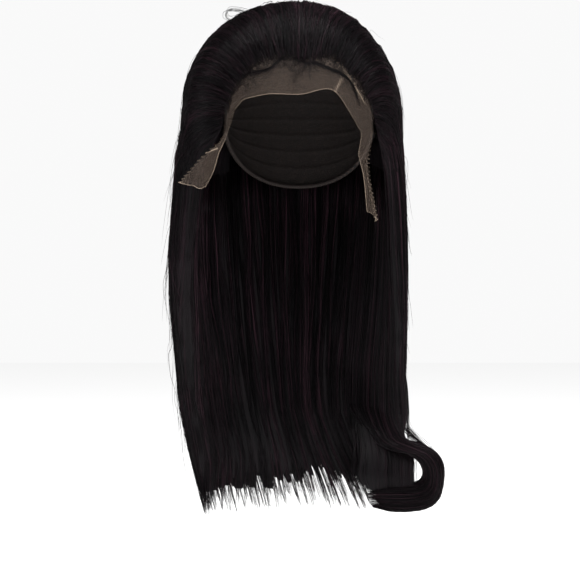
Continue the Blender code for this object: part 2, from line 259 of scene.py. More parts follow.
def tube(name, path, radius, material, sides=8):
    """A round closed tube along a path: rings across it, turned the same way all along."""
    ahead = np.gradient(path, axis=0)
    ahead /= np.linalg.norm(ahead, axis=-1, keepdims=True)
    side = np.cross(ahead, [0.31, 0.17, 0.93])
    side /= np.linalg.norm(side, axis=-1, keepdims=True)
    other = np.cross(ahead, side)
    angle = np.linspace(0, 2 * np.pi, sides, endpoint=False)[None, :, None]
    rings = path[:, None] + radius * (np.cos(angle) * side[:, None] + np.sin(angle) * other[:, None])
    count = len(path)
    caps = np.stack([np.arange(sides), np.arange(sides)[::-1] + (count - 1) * sides])
    faces = [grid_faces(count, sides, wrap=True)[:, ::-1], caps[:, ::-1]]
    return add_piece(name, rings, faces, material)


def cap_form():
    """The cap as a closed wall: both faces of the dome, with a low ridge along each weft inside."""
    across = np.linspace(-EAR_ANGLE, EAR_ANGLE, CAP_COLUMNS)[None, :]
    rows = np.linspace(0, 1, CAP_ROWS)[:, None]
    up = SEAM_ANGLE + 0.25 + (NAPE_ANGLE - SEAM_ANGLE - 0.25) * rows + 0 * across
    ridge = np.clip(np.cos(rows * WEFT_ROWS * 2 * np.pi), 0.86, 1.0) - 0.86
    inner = on_head(across + 0 * rows, up, 0.0001 - WEFT_HEIGHT * ridge / 0.14)
    outer = on_head(across + 0 * rows, up, CAP_WALL)
    return np.concatenate([inner, outer[:, ::-1]], 1)


cap_cloth, cap_shader, begin = finish("cap_stretch_net", Roughness=0.75, Specular_IOR_Level=0.25)
place = begin.node("ShaderNodeTexCoord", output=3)
mesh_of_net = place.node(
    "ShaderNodeTexVoronoi", {"feature": "DISTANCE_TO_EDGE"}, {"Vector": place, "Scale": CAP_NET_SCALE}
)
thread = 1 - mesh_of_net.clip(0.05, 0.16)
yarn = place.noise(240.0, 4.0)
feed(
    cap_shader,
    Base_Color=(thread * 0.8 + yarn * 0.3).clip(0.1, 0.9).blend(CAP_HOLE, CAP_THREAD),
    Roughness=yarn * 0.3 + 0.6,
    Normal=bump(thread + yarn * 0.5, 0.0004),
)
rings = cap_form()
cap = add_piece("cap_dome", rings, wall_faces(*rings.shape[:2]), cap_cloth)
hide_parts("cap")

band_cloth, band_shader, begin = finish("cap_elastic_band", Roughness=0.7, Specular_IOR_Level=0.3)
place = begin.node("ShaderNodeTexCoord", output=3)
rib = place.node(
    "ShaderNodeTexWave",
    {"bands_direction": "DIAGONAL"},
    {"Vector": place, "Scale": RIB_SCALE, "Distortion": 0.6},
)
feed(band_shader, Base_Color=rib.clip(0.2, 0.8).blend(CAP_HOLE, BAND_COLOUR), Normal=bump(rib, 0.0003))
turn = np.linspace(0, 1, BAND_SIDE_STEPS)
nape = np.linspace(-EAR_ANGLE, EAR_ANGLE, BAND_NAPE_STEPS)[1:-1]
edge_across = np.concatenate([0 * turn - EAR_ANGLE, nape, 0 * turn + EAR_ANGLE])
edge_up = np.concatenate([
    BAND_TOP + (NAPE_ANGLE - BAND_TOP) * turn,
    0 * nape + NAPE_ANGLE,
    NAPE_ANGLE + (BAND_TOP - NAPE_ANGLE) * turn,
])
path = on_head(edge_across, edge_up, -BAND_RADIUS * 0.6)
band = tube("cap_band", path, BAND_RADIUS, band_cloth)

# Hair mass
# Long straight hair sewn to the cap in wefts and knotted to the net, combed back from the hairline.
# Below its outer strands it lies so dense that it reads as one dark mass with the form of its locks.
HAIR_CLEARANCE = 0.0016
HAIR_TOP = 0.0156
HAIR_LEFT = 0.038
HAIR_RIGHT = 0.025
HAIR_FRONT = 0.006
HAIR_BACK = 0.017
HAIR_EDGE = 0.003
HAIR_ROUND = 2.1
HAIR_SQUARER_LEFT = 0.15
LIFT_LENGTH = 0.042
CROWN_PULL = (0.0, 0.35, 1.1)
FALL_TILT = 30.0
TOP_RUN = 0.250
SIDE_RUN = 0.050
FALL_LENGTH = 0.400
FALL_WALL_LEFT = 0.026
FALL_WALL_RIGHT = 0.015
FALL_WALL_BACK = 0.014
END_WALL = 0.004
END_SWEEP = 0.040
END_FAN = 0.6
SPREAD_START = 0.15
SWEEP_START = 0.66
SWEEP_END = 1.06
END_SPREAD = 0.014
LOCKS = 20
LOCK_RELIEF = 0.0032
CROWN_RELIEF = 0.3
FALL_RELIEF = 0.6
LOCK_TIP = 0.012
LOCK_GAP = 0.0004
SPLIT = 0.4
FALL_ROWS = 12
CURL_ROW = 9
CURL_NECK = 0.007
CURL_WIDTH = 0.100
CURL_HEIGHT = 0.089
CURL_LEFT = 0.047
CURL_DEPTH = 0.055
CURL_WALL = 0.030
MASS_INSET = 0.0009
MASS_LAP = 0.02
LAP_SINK = 1.6
MASS_SHORTER = 0.024
MASS_RAGGED = 0.020
MASS_TONE = 0.23
HAIRLINE_SOFT = 0.005
HAIRLINE_RISE = 0.022
FINE_STREAKS = (420, 9, 7, 3.0)
BROAD_STREAKS = (95, 5, 3, 2.0)
PATCH_SCALE = 14.0
HAIR_BLACK = (0.0006, 0.0004, 0.0007, 1)
HAIR_BROWN = (0.0042, 0.0022, 0.0033, 1)
HAIR_BURGUNDY = (0.032, 0.0130, 0.0195, 1)

HAIRLINE = rows_of(
    "share around up",
    (0.00, 0.0, 31.0),
    (0.25, 25.0, 31.0),
    (0.42, 37.0, 24.0),
    (0.56, 46.0, 16.0),
    (0.72, 54.0, 7.0),
    (0.87, 60.0, 0.0),
    (1.00, 64.0, -9.0),
)

# Half widths, depths and middle as shares of the widest level's, turn in degrees from the back
FALL = rows_of(
    "drop left right middle back front turn",
    (0.00, 1.000, 1.000, 0.00, 1.000, 0.90, 118.0),
    (0.08, 1.050, 1.020, 0.00, 1.000, 0.80, 110.0),
    (0.21, 1.090, 1.045, 0.00, 0.985, 0.65, 103.0),
    (0.38, 1.124, 1.055, 0.02, 0.940, 0.50, 98.0),
    (0.55, 1.090, 1.060, 0.12, 0.905, 0.45, 93.0),
    (0.65, 1.080, 1.065, 0.26, 0.885, 0.45, 90.0),
    (0.75, 1.062, 1.035, 0.36, 0.867, 0.45, 88.0),
    (0.88, 1.030, 1.010, 0.42, 0.840, 0.45, 86.0),
    (1.00, 0.970, 1.000, 0.45, 0.810, 0.45, 86.0),
)

# The curl's sections from root to tip, in shares of its width and height from its upper left corner
CURL = rows_of(
    "outer_along outer_down inner_along inner_down wall",
    (0.605, 0.150, 0.22, 0.14, 1.00),
    (0.700, 0.200, 0.34, 0.25, 1.00),
    (0.830, 0.255, 0.48, 0.31, 1.00),
    (0.940, 0.340, 0.62, 0.335, 1.00),
    (1.000, 0.470, 0.74, 0.43, 1.00),
    (1.000, 0.660, 0.785, 0.53, 1.00),
    (0.955, 0.850, 0.775, 0.62, 1.00),
    (0.840, 0.960, 0.70, 0.67, 0.96),
    (0.660, 1.000, 0.55, 0.68, 0.88),
    (0.460, 1.000, 0.36, 0.68, 0.70),
    (0.280, 0.950, 0.20, 0.72, 0.40),
)


def oval(across, along, half_across, half_along, power):
    """Distance from the middle to a rounded oval: (sum of (part / half axis)^power)^(-1 / power)."""
    parts = (np.abs(across) / half_across) ** power + (np.abs(along) / half_along) ** power
    return parts ** (-1 / power)


def half_width(side, share_left, share_right):
    """Half width of the hair on its left or right: the widest level's times that side's share."""
    left = (HEAD_HALF_WIDTH + HAIR_LEFT) * share_left
    right = (HEAD_HALF_WIDTH + HAIR_RIGHT) * share_right
    return np.where(side < 0, left, right)


def hair_power(side):
    """Power of the hair's oval outline, which is squarer on its left."""
    return HAIR_ROUND - HAIR_SQUARER_LEFT * side


def crown_distance(way):
    """Distance from the form's centre to the hair's outer face over the crown, a rounded ellipsoid."""
    power = hair_power(way[..., 0])
    low_front = (HEAD_FRONT + HAIR_FRONT) * FALL[0].front
    front = low_front + (HEAD_FRONT + HAIR_FRONT - low_front) * ease(way[..., 2] / 0.35)
    depth = np.where(way[..., 1] < 0, front, (HEAD_BACK + HAIR_BACK) * FALL[0].back)
    parts = (
        np.abs(way[..., 0] / half_width(way[..., 0], 1.0, 1.0)) ** power
        + np.abs(way[..., 1] / depth) ** power
        + np.abs(way[..., 2] / (HEAD_RISE + HAIR_TOP)) ** power
    )
    return parts ** (-1 / power)


def lock_form(share):
    """Cross form of the locks: |sin|^0.7, 0 in the furrow between two locks and 1 on a crest."""
    return np.abs(np.sin(np.pi * LOCKS * (share + 1) / 2)) ** 0.7


def front_rounding(share):
    """Share of the wall that is left towards both front ends, which it rounds off."""
    near = np.clip((np.abs(share) - 0.93) / 0.07, 0.0, 1.0)
    return np.sqrt(1.0 - 0.93 * near**2)


def fall_top(share):
    """Drop below the widest level at which the hair starts to fall: a parabola of the share's angle."""
    return HEAD_RISE * np.tan(np.radians(FALL_TILT * share**2))


def furrow_bottom():
    """Drop at which the furrows between the locks end."""
    return FALL_LENGTH - END_SPREAD - LOCK_TIP


def fall_bottom(share):
    """Drop of the lock tips: each lock is longest on its crest, by a length of its own."""
    number = np.floor((share + 1) / 2 * LOCKS)
    uneven = END_SPREAD * (0.5 + 0.5 * np.sin(number * 2.4))
    return furrow_bottom() + (LOCK_TIP + uneven) * lock_form(share)


def crown_run(share):
    """Length of a strand from the hairline to where it falls, longest over the middle."""
    return SIDE_RUN + (TOP_RUN - SIDE_RUN) * (1 - np.abs(share) ** 1.5)


def strand_way(share, along):
    """Unit vectors along a strand over the crown: a quadratic Bezier curve, made unit."""
    side = np.sign(share)
    size = np.abs(share)
    around = np.radians(read(HAIRLINE, "around", size)) * side
    up = np.radians(read(HAIRLINE, "up", size))
    root = np.stack([np.sin(around) * np.cos(up), -np.cos(around) * np.cos(up), np.sin(up)], -1)
    down = np.radians(-FALL_TILT * size**2)
    turn = np.radians(read(FALL, "turn", -HEAD_RISE * np.tan(down) / FALL_LENGTH) * share)
    end = np.stack([np.sin(turn) * np.cos(down), np.cos(turn) * np.cos(down), np.sin(down)], -1)
    raised = (1 - size**1.5)[..., None]
    pull = (root + end) / 2 + np.array(CROWN_PULL) * raised
    along = along[..., None]
    way = root * (1 - along) ** 2 + pull * 2 * along * (1 - along) + end * along**2
    return way / np.linalg.norm(way, axis=-1, keepdims=True)


def fall_walls(turn, drop):
    """Outer distance and wall of a level section, an oval, and the middle it is measured from."""
    at = drop / FALL_LENGTH
    side = np.sin(turn)
    back = np.cos(turn)
    middle = read(FALL, "middle", at) * HEAD_BACK
    behind = (HEAD_BACK + HAIR_BACK) * read(FALL, "back", at) - middle
    before = (HEAD_FRONT + HAIR_FRONT) * read(FALL, "front", at)
    wide = half_width(side, read(FALL, "left", at), read(FALL, "right", at))
    outer = oval(side, back, wide, np.where(back > 0, behind, before), hair_power(side))
    bare = outer - head_distance(np.stack([side, back, 0 * side], -1)) - CAP_WALL - HAIR_CLEARANCE
    fall_side = np.where(side < 0, FALL_WALL_LEFT, FALL_WALL_RIGHT)
    wall = FALL_WALL_BACK + (fall_side - FALL_WALL_BACK) * side**2
    wall = bare + (wall - bare) * ease(drop / (HEAD_RISE * 0.45))
    wall = END_WALL + (wall - END_WALL) * (1 - ease((at - 0.8) / 0.2))
    return outer, wall, middle


def between(outer, inner, share, inward, lift):
    """A distance from outer (inward 0) to inner (1) in the rounded wall, lifted off its faces."""
    half = (outer - inner) / 2 * front_rounding(share)
    return (outer + inner) / 2 + (half + lift) * (1 - 2 * inward)


def crown_point(share, along, inward, lift):
    """Points of the hair over the crown: way times distance, or a level section lower down."""
    way = strand_way(share, along)
    low = way[..., 2] < 0
    turn = np.arctan2(way[..., 0], way[..., 1])
    drop = np.where(low, -HEAD_RISE * way[..., 2] / np.hypot(way[..., 0], way[..., 1]), 0.0)
    low_outer, low_wall, middle = fall_walls(turn, drop)
    inner = np.where(low, low_outer - low_wall, head_distance(way) + CAP_WALL + HAIR_CLEARANCE)
    outer = np.where(low, low_outer, crown_distance(way))
    raised = ease(0.12 + along * crown_run(share) / LIFT_LENGTH)
    outer = inner + HAIR_EDGE + (outer - inner - HAIR_EDGE) * raised
    relief = CROWN_RELIEF + (FALL_RELIEF - CROWN_RELIEF) * ease((along - 0.5) / 0.5)
    outer = outer - LOCK_RELIEF * (1 - lock_form(share)) * raised * relief
    distance = between(outer, inner, share, inward, lift)
    high = way * distance[..., None] - np.array([0.0, 0.0, HEAD_RISE])
    level = np.stack([np.sin(turn) * distance, middle + np.cos(turn) * distance, -HEAD_RISE - drop], -1)
    return np.where(low[..., None], level, high)


def fall_point(share, drop, inward, lift):
    """Points of the falling hair: a bearing and a distance from the middle, swept right at the ends."""
    at = drop / FALL_LENGTH
    angle = np.radians(read(FALL, "turn", at)) * share
    behind = (HEAD_BACK + HAIR_BACK) * read(FALL, "back", at) - read(FALL, "middle", at) * HEAD_BACK
    wide = half_width(share, read(FALL, "left", at), read(FALL, "right", at))
    spread = 1 + (wide / behind - 1) * ease((at - SPREAD_START) / (1 - SPREAD_START))
    turn = np.arctan2(np.sin(angle) * spread, np.cos(angle))
    outer, wall, middle = fall_walls(turn, drop)
    row = (drop - fall_top(share)) / (furrow_bottom() - fall_top(share))
    inner = outer - wall
    outer = outer - LOCK_RELIEF * (1 - lock_form(share)) * (FALL_RELIEF + (1 - FALL_RELIEF) * ease(row))
    distance = between(outer, inner, share, inward, lift)
    sweep = END_SWEEP * (1 + END_FAN * share) * ease((at - SWEEP_START) / (SWEEP_END - SWEEP_START))
    across = np.sin(turn) * distance + sweep
    return np.stack([across, middle + np.cos(turn) * distance, -HEAD_RISE - drop], -1)


def curl_start(share):
    """Drop at which the right-hand hair passes into the curl."""
    top = fall_top(share) + LOCK_GAP
    return top + (furrow_bottom() - top) * CURL_ROW / FALL_ROWS


def curl_keys(share, inward, lift):
    """One point a row of the curl for each strand: across the section from its inner to its outer rim,
    and through its wall by the root of (1 - 0.96 (2 across - 1)^2), eased from the falling hair."""
    start = fall_point(share, curl_start(share), inward, lift)
    top = -HEAD_RISE - curl_start(1.0) - LOCK_GAP - CURL_NECK
    across = ((share - SPLIT) / (1 - SPLIT))[:, None]
    rows = np.array(CURL)[None]
    along = rows[..., 2] + (rows[..., 0] - rows[..., 2]) * across
    down = rows[..., 3] + (rows[..., 1] - rows[..., 3]) * across
    bulge = np.sqrt(np.clip(1.0 - 0.96 * (2 * across - 1) ** 2, 0.0, 1.0))
    face = (1 - 2 * inward)[:, None]
    depth = CURL_DEPTH + face * (CURL_WALL / 2 * rows[..., 4] * bulge + lift[:, None])
    mix = ease((np.arange(len(CURL)) + 2) / 4)
    depth = start[:, 1:2] + (depth - start[:, 1:2]) * mix
    return np.stack([CURL_LEFT + CURL_WIDTH * along, depth, top - CURL_HEIGHT * down], -1)


def through(keys, at):
    """Points on smooth cubic curves through each strand's keys, at places counted in keys."""
    slope = np.gradient(keys, axis=1)
    i = np.clip(np.floor(at).astype(int), 0, keys.shape[1] - 2)
    u = (at - i)[..., None]
    pick = np.arange(len(keys))[:, None]
    start = (1 + 2 * u) * (1 - u) ** 2 * keys[pick, i] + u * (1 - u) ** 2 * slope[pick, i]
    return start + u * u * (3 - 2 * u) * keys[pick, i + 1] + u * u * (u - 1) * slope[pick, i + 1]


def hair_material(name):
    """Glossy dark hair: black to burgundy by tone, in fine and in broad streaks along the strands."""
    made, shader, begin = finish(name, IOR=1.5, Specular_IOR_Level=0.10)
    tone = begin.attribute("tone")
    across = begin.attribute("across")
    down = begin.attribute("down")
    fibre, lock = (
        begin.node(
            "ShaderNodeCombineXYZ", values={"X": across * x, "Y": down * y, "Z": tone * z}
        ).noise(1.0, detail)
        for x, y, z, detail in (FINE_STREAKS, BROAD_STREAKS)
    )
    place = begin.node("ShaderNodeTexCoord", output=3)
    patch = place.noise(PATCH_SCALE, 2.0)
    shade = tone * 0.75 + (fibre - 0.5) * 0.9 + (lock - 0.5) * 0.7 + (patch - 0.5) * 0.7
    colour = shade.node(
        "ShaderNodeValToRGB",
        {"stops": [(0.0, HAIR_BLACK), (0.45, HAIR_BROWN), (1.0, HAIR_BURGUNDY)]},
        {"Fac": shade},
    )
    feed(
        shader,
        Base_Color=colour,
        Roughness=fibre * 0.2 + (tone * 17).math("FRACT") * 0.38 + 0.12,
        Normal=bump(fibre + lock, 0.0007, 0.7),
    )
    return made


hair = hair_material("long_hair")


def add_mass(name, outer, inner, share, down, nodes):
    """A closed wall of dense hair through its outer and inner face, with a strip closing each end."""
    rings = np.concatenate([outer, inner[:, ::-1]], 1)
    faces = wall_faces(*rings.shape[:2])
    share = np.concatenate([share, share[:, ::-1] + 5], 1)
    down = np.concatenate([down, down[:, ::-1]], 1)
    piece = add_piece(name, rings, faces, hair, across=share, down=down, tone=MASS_TONE + 0 * share)
    if nodes:
        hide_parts(*nodes)


def mass_grid(low, high, rows, columns):
    """Shares across and places down a mass."""
    return np.meshgrid(np.linspace(low, high, columns), np.linspace(0.0, 1.0, rows))


def fall_faces(share, drop):
    """The outer and the inner face of a falling mass, set in a little below its strands and deeper
    where its top laps under the crown's."""
    under = 1 - ease((drop - fall_top(share)) / (MASS_LAP * HEAD_RISE) + 1)
    inset = MASS_INSET * (1 + LAP_SINK * under)
    return [fall_point(share, drop, side + 0 * share, -inset) for side in (0.0, 1.0)]


share, along = mass_grid(-1.0, 1.0, 26, 201)
along = along + (1 - along) * HAIRLINE_SOFT / crown_run(share)
sunk = 0.94 * (1 - ease((along * crown_run(share) - HAIRLINE_SOFT) / HAIRLINE_RISE))
crown_faces = [
    crown_point(share, along, side, -MASS_INSET * (1 + LAP_SINK * ease((along - 0.92) / 0.08)))
    for side in (sunk, 1.0 + 0 * share)
]
add_mass("hair_crown_mass", *crown_faces, share, along * crown_run(share), ["hair_crown"])
rng = np.random.default_rng(10)
for name, low, high, node in (
    ("hair_left_mass", -1.0, -SPLIT, "hair_left"),
    ("hair_back_mass", -SPLIT - MASS_LAP, SPLIT + MASS_LAP, "hair_back"),
):
    share, row = mass_grid(low, high, 34, round((high - low) * 120) + 1)
    top = fall_top(share) - MASS_LAP * HEAD_RISE
    ragged = MASS_RAGGED * rng.uniform(-1.0, 1.0, share.shape[1]) * rng.uniform(0.2, 1.0, share.shape[1])
    bottom = furrow_bottom() + (fall_bottom(share) - furrow_bottom()) * 0.5 - MASS_SHORTER + ragged
    drop = top + (bottom - top) * row
    add_mass(name, *fall_faces(share, drop), share, drop + TOP_RUN, [node])
share, row = mass_grid(SPLIT, 1.0, 30, 73)
top = fall_top(share) - MASS_LAP * HEAD_RISE
drop = top + (curl_start(share) - top) * row
add_mass("hair_right_mass", *fall_faces(share, drop), share, drop + TOP_RUN, ["hair_right"])


def curl_through(share, inward, lift, at):
    """Points round the curl at places counted in its rows, from 0 where the fall passes into it."""
    keys = [fall_point(share, curl_start(share) - back, inward, lift) for back in (0.03, 0.0)]
    keys = np.concatenate([np.stack(keys, 1), curl_keys(share, inward, lift)], 1)
    return through(keys, 1.0 + at)


share = np.linspace(SPLIT, 1.0, 49)
at = -0.1 + (len(CURL) - 0.1 - rng.uniform(0.0, 1.0, (49, 1))) * np.linspace(0, 1, 60)[None]
curl_faces = [curl_through(share, side + 0 * share, -MASS_INSET + 0 * share, at) for side in (0.0, 1.0)]
share, row = mass_grid(SPLIT, 1.0, 60, 49)
curl_faces = [face.swapaxes(0, 1) for face in curl_faces]
add_mass("end_curl_mass", *curl_faces, share, row * 0.3 + 0.55, ["end_curl"])

# Strands
# Single hairs, which lie on the mass in loose locks. They start one by one at the hairline, run back
# over the crown, fall, draw together and end at lengths of their own.
STRAND_RADIUS = 0.00023
STRAND_TIP = 0.25
LOCK_PULL = 0.42
STRAND_LIFT = 0.0011
LOCK_LIFT = 0.0013
END_SCATTER = 0.014
ROOT_RISE = 0.014
LATE_RISE = 2.6
CURL_STEPS_POWER = 1.35
ROOT_FAN = 0.8
FAN_REACH = 0.75
TUFTS = 130
TONES = (0.02, 0.98)


def add_strands(name, paths, radii, tone):
    """Closed three-sided tubes along many paths: each ring stands across its path, and the tips taper.
    Every strand has a cell of its own in the UV map named OFBake."""
    count, steps = paths.shape[:2]
    ahead = np.gradient(paths, axis=1)
    ahead /= np.linalg.norm(ahead, axis=-1, keepdims=True)
    outward = paths * np.array([1.0, 1.0, 0.0])
    outward[..., 2] = np.clip(paths[..., 2] + HEAD_RISE, 0.0, None)
    side = np.cross(ahead, outward)
    side /= np.linalg.norm(side, axis=-1, keepdims=True)
    over = np.cross(side, ahead)
    angle = (np.arange(3) / 3 + tone[:, None] * 7) * 2 * np.pi
    cos, sin = np.cos(angle)[:, None, :, None], np.sin(angle)[:, None, :, None]
    around = cos * side[:, :, None] + sin * over[:, :, None]
    rings = paths[:, :, None] + radii[..., None, None] * around
    first = np.arange(count)[:, None, None] * steps * 3
    sides = (grid_faces(steps, 3, wrap=True)[None] + first).reshape(-1, 4)
    ends = np.array([[0, 1, 2], [3 * steps - 1, 3 * steps - 2, 3 * steps - 3]])
    ends = (ends[None] + first).reshape(-1, 3)
    wide = int(np.ceil(np.sqrt(count * 6)))
    tall = int(np.ceil(count / wide))
    cell = np.stack([np.arange(count) % wide, np.arange(count) // wide], -1)
    row, column = np.meshgrid(np.arange(steps - 1), np.arange(3), indexing="ij")
    u = np.stack([column, column, column + 1, column + 1], -1).reshape(-1) / 3
    v = np.stack([row, row + 1, row + 1, row], -1).reshape(-1) / (steps - 1)
    side_uv = 0.1 + 0.8 * np.stack([u, v], -1)
    end_uv = 0.1 + 0.8 * np.array([[0, 0], [1, 0], [0.5, 0.02], [0, 1], [1, 1], [0.5, 0.98]])
    size = np.array([wide, tall])
    uv = [((part[None] + cell[:, None]) / size).reshape(-1, 2) for part in (side_uv, end_uv)]
    reach = np.linalg.norm(np.diff(paths, axis=1), axis=-1).cumsum(1)
    down = np.concatenate([np.zeros((count, 1)), reach], 1)
    spread = np.ones((1, steps, 3))
    piece = add_piece(
        name,
        rings,
        [sides, ends],
        hair,
        np.concatenate(uv),
        "OFBake",
        tone=tone[:, None, None] * spread,
        across=tone[:, None, None] * 3 + 0 * spread,
        down=down[:, :, None] + 0 * spread,
    )


def strand_radii(count, steps, rng, size=STRAND_RADIUS):
    """Radii that differ from strand to strand and taper to the tip by the fourth power of the way."""
    along = np.linspace(0, 1, steps)[None]
    own = size * rng.lognormal(0.0, 0.22, (count, 1))
    return own * (1 - (1 - STRAND_TIP) * along**4) * (0.75 + 0.25 * ease(along / 0.08))


def tones(rng, middle, spread, count):
    """A tone for each strand, scattered round a middle one."""
    return np.clip(rng.normal(middle, spread, count), *TONES)


def wander(rng, count, steps, waves):
    """A slow drift from -1 to 1 along each strand: the mean of two sines of its own."""
    along = np.linspace(0, 1, steps)[None]
    drift = 0
    for scale in (1.0, 1.9):
        beat = rng.uniform(0.6, 1.4, (count, 1)) * waves * scale
        drift = drift + np.sin(2 * np.pi * (beat * along + rng.uniform(0, 1, (count, 1)))) / 2
    return drift


def fanned(share, along):
    """The share that a strand has at a place along the crown, from the share that it falls at. Roots
    stand closer to the middle: |share|^(1 + fan), and the fan eases to nothing down the crown."""
    return np.sign(share) * np.abs(share) ** (1 + ROOT_FAN * (1 - ease(along / FAN_REACH)))


class LockSet:
    """Strands gathered in locks: their shares draw towards the lock's middle as they go down."""

    def __init__(self, low, high, locks, count, steps, seed, inward):
        self.rng = rng = np.random.default_rng(seed)
        self.steps = steps
        share = rng.uniform(low, high, count)
        lock = np.clip(((share - low) / (high - low) * locks).astype(int), 0, locks - 1)
        middle = low + (np.arange(locks) + rng.uniform(0.3, 0.7, locks)) / locks * (high - low)
        tuft = rng.normal(0.0, 0.30, TUFTS + 1)[((share - low) / (high - low) * TUFTS).astype(int)]
        tone = rng.normal(0.34, 0.15, locks)[lock] + tuft + rng.normal(0, 0.12, count)
        self.tone = np.clip(tone, *TONES)
        along = np.linspace(0, 1, steps)[None]
        width = (high - low) / locks
        drawn = LOCK_PULL * ease((along - 0.25) / 0.75) * rng.uniform(0.7, 1.1, (locks, 1))[lock]
        drift = wander(rng, locks, steps, 1.1)[lock] * width * 0.45
        own = wander(rng, count, steps, 2.2) * width * 0.16
        share = middle[lock][:, None] + (share - middle[lock])[:, None] * (1 - drawn)
        self.share = np.clip(share + (drift + own) * ease(along / 0.2), low, high)
        lock_lift = LOCK_LIFT * wander(rng, locks, steps, 1.6)[lock]
        self.lift = lock_lift + STRAND_LIFT * rng.uniform(0, 1, (count, 1))
        self.lock_end = rng.uniform(-1.0, 1.0, locks)[lock][:, None]
        self.own_end = rng.uniform(0.0, 1.0, (count, 1)) ** 2
        self.inward = rng.uniform(*inward, (count, 1))
        late = rng.uniform(0, 1, (count, 1)) > 0.55
        late_start = rng.uniform(0.0, 0.55, (count, 1))
        self.first = np.where(late, late_start, rng.uniform(-0.012, 0.03, (count, 1)))
        self.rise = ROOT_RISE * np.where(late, LATE_RISE, 1.0)

    def paths(self, on_crown, falling, curling=0, fall_from=0.0):
        """Points along every strand, for its steps over the crown, in the fall and in the curl."""
        share, lift = self.share, self.lift
        if curling:
            still = ease((np.arange(self.steps)[None] - on_crown - falling + 5) / 5)
            share = share + (share[:, on_crown + falling : on_crown + falling + 1] - share) * still
        parts = []
        if on_crown:
            own = share[:, :on_crown]
            run = crown_run(own)
            start = run[:, :1] * self.first
            reach = start + (run - start) * np.arange(on_crown) / on_crown
            raised = lift[:, :on_crown] * ease((reach + 0.01) / 0.06)
            inward = self.inward + (1 - self.inward) * (1 - ease((reach - start) / self.rise))
            parts.append(crown_point(fanned(own, reach / run), reach / run, inward, raised))
        own = share[:, on_crown : on_crown + falling]
        uneven = END_SCATTER * (self.lock_end * 0.7 - self.own_end * 1.6)
        bottom = curl_start(own) if curling else furrow_bottom() + LOCK_TIP + uneven
        at = fall_from + (1 - fall_from) * np.arange(falling) / (falling if curling else falling - 1)
        drop = fall_top(own) + (bottom - fall_top(own)) * at
        raised = lift[:, on_crown : on_crown + falling]
        parts.append(fall_point(own, drop, self.inward + 0 * own, raised))
        if curling:
            end = np.clip(len(CURL) - 1.6 * self.own_end + 0.5 * self.lock_end, 1, len(CURL))
            at = end * np.linspace(0, 1, curling)[None] ** CURL_STEPS_POWER
            parts.append(curl_through(share[:, -1], self.inward[:, 0], lift[:, -1], at))
        return np.concatenate(parts, 1)


for name, low, high, locks_here, count, on_crown, falling, curling, fall_from, inward, seed in (
    ("hair_left_strands", -1.0, -SPLIT, 34, 1150, 12, 9, 0, 0.0, (0.0, 0.1), 11),
    ("hair_back_strands", -SPLIT - 0.02, SPLIT + 0.02, 40, 1400, 12, 9, 0, 0.0, (0.0, 0.1), 12),
    ("hair_right_strands", SPLIT, 1.0, 34, 850, 9, 7, 20, 0.0, (0.0, 0.12), 13),
    ("inner_left_strands", -1.0, -SPLIT, 16, 420, 0, 9, 0, 0.1, (0.92, 1.0), 14),
    ("inner_back_strands", -SPLIT - 0.02, SPLIT + 0.02, 24, 760, 0, 9, 0, 0.06, (0.92, 1.0), 15),
    ("inner_right_strands", SPLIT, 1.0, 18, 500, 0, 6, 18, 0.1, (0.90, 1.0), 16),
    ("front_left_strands", -1.0, -0.93, 6, 330, 7, 9, 0, 0.0, (0.0, 1.0), 17),
    ("front_right_strands", 0.93, 1.0, 6, 240, 5, 6, 18, 0.0, (0.0, 1.0), 18),
):
    steps = on_crown + falling + curling
    locks = LockSet(low, high, locks_here, count, steps, seed, inward)
    paths = locks.paths(on_crown, falling, curling, fall_from)
    add_strands(name, paths, strand_radii(count, steps, locks.rng), locks.tone)

# Front roots
# The first hairs, knotted one by one to the net at and just before the hairline. They rise out of it
# in a soft uneven edge and are combed back over the crown.
ROOT_COUNT = 1350
ROOT_STEPS = 9
ROOT_LENGTH = 0.075
ROOT_AHEAD = 0.0065
ROOT_RADIUS = 0.00019
rng = np.random.default_rng(21)
share = np.sort(rng.uniform(-1.0, 1.0, (ROOT_COUNT, 1)), axis=0)
ahead = ROOT_AHEAD * (rng.uniform(-1.4, 1.0, (ROOT_COUNT, 1)) + 0.35 * np.sin(share * 23))
length = ROOT_LENGTH * rng.uniform(0.5, 1.2, (ROOT_COUNT, 1))
reach = -ahead + (length + ahead) * np.linspace(0, 1, ROOT_STEPS) ** 1.3
share = np.sign(share) * np.abs(share) ** (1 / (1 + ROOT_FAN))
share = fanned(share, np.clip(reach / crown_run(share), 0.0, 1.0))
share = np.clip(share + 0.010 * wander(rng, ROOT_COUNT, ROOT_STEPS, 0.8), -1.0, 1.0)
inward = 1.0 - ease((reach + ahead) / ROOT_RISE)
lift = rng.uniform(-0.0004, 0.0010, (ROOT_COUNT, 1)) * ease((reach + ahead) / ROOT_RISE)
roots = crown_point(share, np.minimum(reach / crown_run(share), 1.0), inward, lift)
tone = tones(rng, 0.38, 0.24, ROOT_COUNT)
add_strands("hairline_strands", roots, strand_radii(ROOT_COUNT, ROOT_STEPS, rng, size=ROOT_RADIUS), tone)

# Curl filling
# A few locks of the side hair that miss the roll, hang straight down behind it and end in its bottom.
FILL_COUNT = 320
FILL_STEPS = 13

FILL = rows_of(
    "down left right wall",
    (0.30, 0.14, 0.68, 0.30),
    (0.55, 0.12, 0.70, 0.85),
    (0.74, 0.14, 0.69, 0.70),
    (0.97, 0.24, 0.54, 0.30),
)


